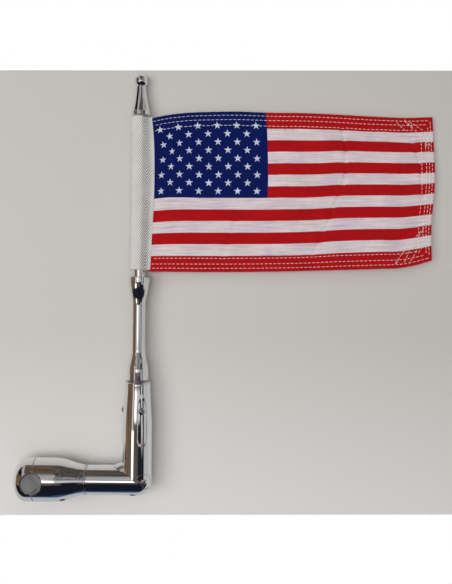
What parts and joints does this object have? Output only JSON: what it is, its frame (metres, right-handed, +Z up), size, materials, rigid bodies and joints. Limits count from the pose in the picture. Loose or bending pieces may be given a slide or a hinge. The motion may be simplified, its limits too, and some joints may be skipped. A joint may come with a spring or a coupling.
{
  "type": "rack bar flag mount",
  "caption": "Folding flag mount for a round rack bar: split clamp, swivel arm, upright, waisted pole holder, rod, small flag with sleeve and ball finial.",
  "frame": {"origin": "centre of the clamp's bore, on the arm's axis", "axes": "+Y along the bar that the clamp grips, +Z up along the pole, +X from the clamp along the arm and along the flag"},
  "size_m": [0.3959, 0.0412, 0.4083],
  "materials": {
    "chrome": "polished chrome plate",
    "screw_steel": "plain bright steel",
    "sleeve_mesh": "white woven mesh",
    "flag_cloth": "ribbed polyester with red and white stripes and a blue canton"
  },
  "bodies": {
    "clamp": {"clamp_body": "chrome", "swivel_set_screw": "screw_steel"},
    "cap": {"clamp_cap": "chrome", "cap_screw_upper": "screw_steel", "cap_screw_lower": "screw_steel"},
    "arm": {"elbow_arm": "chrome", "swivel_spigot": "screw_steel", "swivel_washer": "chrome", "hinge_pin": "screw_steel", "fold_lock_screw": "screw_steel"},
    "upright": {"upright_receiver": "chrome", "receiver_screw_front": "screw_steel", "receiver_screw_left": "screw_steel", "receiver_screw_rear": "screw_steel", "seat_ring": "chrome"},
    "pole": {"pole_holder": "chrome", "pole_rod": "chrome"},
    "flag": {"flag_sleeve": "sleeve_mesh", "flag_cloth": "flag_cloth"},
    "finial": {"finial_cone": "chrome", "finial_ball": "chrome", "finial_stud": "screw_steel"}
  },
  "joints": [
    {"name": "cap_open", "type": "slide", "parent": "clamp", "child": "cap", "axis": [-1, 0, 0], "range_m": [0, 0.022]},
    {"name": "arm_swivel", "type": "hinge", "parent": "clamp", "child": "arm", "pos_m": [0.0484, 0, 0], "axis": [1, 0, 0], "continuous": true},
    {"name": "fold", "type": "hinge", "parent": "arm", "child": "upright", "pos_m": [0.1032, 0, 0.001], "axis": [0, 1, 0], "range_deg": [0, 90]},
    {"name": "holder_lift", "type": "slide", "parent": "upright", "child": "pole", "axis": [0, 0, 1], "range_m": [0, 0.036]},
    {"name": "flag_swing", "type": "hinge", "parent": "pole", "child": "flag", "pos_m": [0.096, 0, 0.27], "axis": [0, 0, 1], "continuous": true},
    {"name": "finial_lift", "type": "slide", "parent": "pole", "child": "finial", "axis": [0, 0, 1], "range_m": [0, 0.014]}
  ]
}
